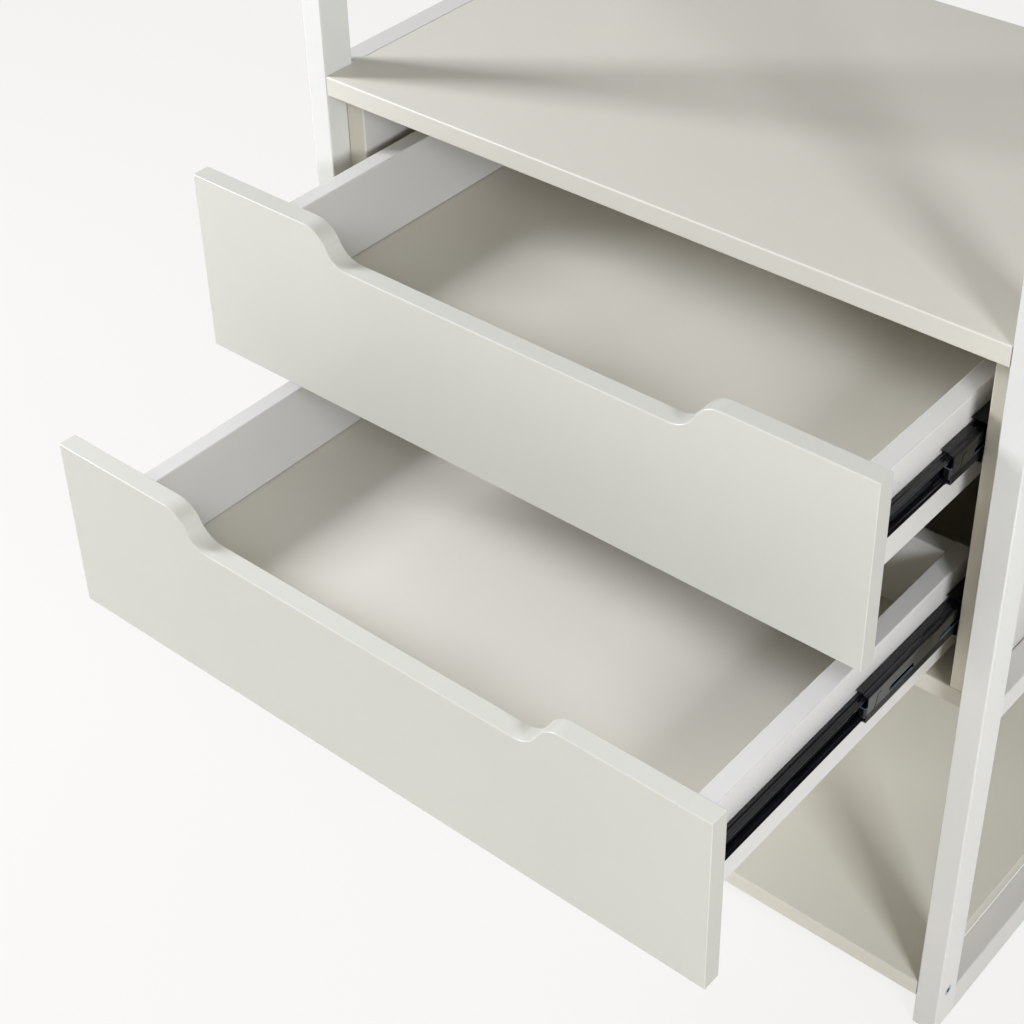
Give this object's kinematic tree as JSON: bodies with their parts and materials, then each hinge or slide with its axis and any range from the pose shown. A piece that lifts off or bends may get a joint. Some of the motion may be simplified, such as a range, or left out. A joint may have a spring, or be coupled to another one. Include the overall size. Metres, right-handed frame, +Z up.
{
  "type": "open shelving unit with drawers",
  "caption": "Open shelving unit on slim square posts, with inset drawers on ball-bearing runners and S-curved finger-pull fronts.",
  "frame": {"origin": "on the floor, below the middle of the whole object's box as it stands with its drawers pulled out", "axes": "+Z up; +X to the user's right; the drawers open towards -Y"},
  "size_m": [0.6, 0.6654, 1.2],
  "materials": {
    "lacquered_board": "satin warm-grey lacquer on fibreboard",
    "lacquered_panel": "satin warm-grey lacquer on thin fibreboard",
    "black_runner": "black electro-coated steel",
    "black_screw": "black zinc",
    "zinc_screw": "blue-white zinc plate",
    "zinc_cage": "darkened pressed steel with grease",
    "bearing_steel": "polished",
    "black_plastic": "moulded acetal",
    "glide_plastic": "moulded polyethylene",
    "beech_dowel": "fluted raw beech"
  },
  "bodies": {
    "cabinet": {"back_panel": "lacquered_panel", "back_panel_screws": "zinc_screw", "bottom_shelf": "lacquered_board", "cabinet_dowels": "beech_dowel", "cabinet_runner_screws": "black_screw", "drawer_bay_floor": "lacquered_board", "floor_glides": "glide_plastic", "left_bay_panel": "lacquered_board", "left_foot_rail": "lacquered_board", "left_front_post": "lacquered_board", "left_middle_rail": "lacquered_board", "left_rear_post": "lacquered_board", "left_shelf_rail": "lacquered_board", "left_top_rail": "lacquered_board", "lower_left_cabinet_runner": "black_runner", "lower_right_cabinet_runner": "black_runner", "main_shelf": "lacquered_board", "right_bay_panel": "lacquered_board", "right_foot_rail": "lacquered_board", "right_front_post": "lacquered_board", "right_middle_rail": "lacquered_board", "right_rear_post": "lacquered_board", "right_shelf_rail": "lacquered_board", "right_top_rail": "lacquered_board", "shelf_screws": "zinc_screw", "top_shelf": "lacquered_board", "upper_left_cabinet_runner": "black_runner", "upper_right_cabinet_runner": "black_runner"},
    "upper_drawer": {"upper_drawer_back": "lacquered_board", "upper_drawer_bottom": "lacquered_panel", "upper_drawer_dowels": "beech_dowel", "upper_drawer_front": "lacquered_board", "upper_drawer_left_side": "lacquered_board", "upper_drawer_right_side": "lacquered_board", "upper_left_drawer_runner": "black_runner", "upper_release_levers": "black_plastic", "upper_right_drawer_runner": "black_runner", "upper_runner_screws": "black_screw"},
    "upper_middle_runners": {"upper_left_middle_runner": "black_runner", "upper_right_middle_runner": "black_runner"},
    "upper_outer_cages": {"upper_outer_ball_cages": "zinc_cage", "upper_outer_balls": "bearing_steel"},
    "upper_inner_cages": {"upper_inner_ball_cages": "zinc_cage", "upper_inner_balls": "bearing_steel"},
    "lower_drawer": {"lower_drawer_back": "lacquered_board", "lower_drawer_bottom": "lacquered_panel", "lower_drawer_dowels": "beech_dowel", "lower_drawer_front": "lacquered_board", "lower_drawer_left_side": "lacquered_board", "lower_drawer_right_side": "lacquered_board", "lower_left_drawer_runner": "black_runner", "lower_release_levers": "black_plastic", "lower_right_drawer_runner": "black_runner", "lower_runner_screws": "black_screw"},
    "lower_middle_runners": {"lower_left_middle_runner": "black_runner", "lower_right_middle_runner": "black_runner"},
    "lower_outer_cages": {"lower_outer_ball_cages": "zinc_cage", "lower_outer_balls": "bearing_steel"},
    "lower_inner_cages": {"lower_inner_ball_cages": "zinc_cage", "lower_inner_balls": "bearing_steel"}
  },
  "joints": [
    {"name": "upper_drawer_slide", "type": "slide", "parent": "cabinet", "child": "upper_drawer", "axis": [0, -1, 0], "range_m": [-0.1365, 0.1635]},
    {"name": "upper_middle_runners_slide", "type": "slide", "parent": "cabinet", "child": "upper_middle_runners", "axis": [0, -1, 0], "range_m": [-0.06875, 0.08225]},
    {"name": "upper_outer_cages_slide", "type": "slide", "parent": "cabinet", "child": "upper_outer_cages", "axis": [0, -1, 0], "range_m": [-0.03463, 0.04138]},
    {"name": "upper_inner_cages_slide", "type": "slide", "parent": "cabinet", "child": "upper_inner_cages", "axis": [0, -1, 0], "range_m": [-0.10287, 0.12312]},
    {"name": "lower_drawer_slide", "type": "slide", "parent": "cabinet", "child": "lower_drawer", "axis": [0, -1, 0], "range_m": [-0.2855, 0.0145]},
    {"name": "lower_middle_runners_slide", "type": "slide", "parent": "cabinet", "child": "lower_middle_runners", "axis": [0, -1, 0], "range_m": [-0.14325, 0.00775]},
    {"name": "lower_outer_cages_slide", "type": "slide", "parent": "cabinet", "child": "lower_outer_cages", "axis": [0, -1, 0], "range_m": [-0.07187, 0.00413]},
    {"name": "lower_inner_cages_slide", "type": "slide", "parent": "cabinet", "child": "lower_inner_cages", "axis": [0, -1, 0], "range_m": [-0.21463, 0.01137]}
  ],
  "couplings": [
    {"joint": "upper_middle_runners_slide", "follows": "upper_drawer_slide", "ratio": 0.5},
    {"joint": "upper_outer_cages_slide", "follows": "upper_drawer_slide", "ratio": 0.25},
    {"joint": "upper_inner_cages_slide", "follows": "upper_drawer_slide", "ratio": 0.75},
    {"joint": "lower_middle_runners_slide", "follows": "lower_drawer_slide", "ratio": 0.5},
    {"joint": "lower_outer_cages_slide", "follows": "lower_drawer_slide", "ratio": 0.25},
    {"joint": "lower_inner_cages_slide", "follows": "lower_drawer_slide", "ratio": 0.75}
  ]
}
